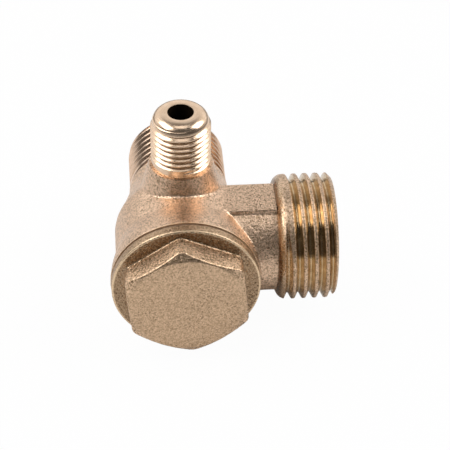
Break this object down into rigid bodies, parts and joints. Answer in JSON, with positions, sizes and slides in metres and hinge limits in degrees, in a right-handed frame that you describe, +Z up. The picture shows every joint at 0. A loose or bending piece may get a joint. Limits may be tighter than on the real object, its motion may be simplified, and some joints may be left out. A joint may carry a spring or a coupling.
{
  "type": "check valve",
  "caption": "Brass angle check valve for a compressor tank: threaded inlet, threaded side outlet, small unloader nipple, hexagon cap, and a sprung poppet with a soft seal",
  "frame": {"origin": "on the tank port's axis, in the plane where its thread starts behind the rounded shoulder, so it is the plane the tank's boss comes up to", "axes": "+X points out of the tank port, +Y out of the inlet port and away from the hexagon cap, +Z up, out of the unloader port"},
  "size_m": [0.0372, 0.0393, 0.036],
  "materials": {
    "body_brass": "cast and shot-blasted, with machined threads",
    "cap_brass": "hot-stamped and shot-blasted",
    "gasket_fibre": "flat pressed fibre-reinforced sheet",
    "poppet_brass": "turned",
    "seal_rubber": "moulded, smooth",
    "spring_steel": "drawn wire"
  },
  "bodies": {
    "valve": {"valve_body": "body_brass", "bonnet_cap": "cap_brass", "cap_gasket": "gasket_fibre", "check_spring": "spring_steel"},
    "closer": {"poppet": "poppet_brass", "seal_disc": "seal_rubber"}
  },
  "joints": [
    {"name": "poppet_lift", "type": "slide", "parent": "valve", "child": "closer", "axis": [0, -1, 0], "range_m": [0, 0.003], "stiffness_N_per_m": 280, "springref_m": -0.004, "deforming": ["check_spring"]}
  ]
}
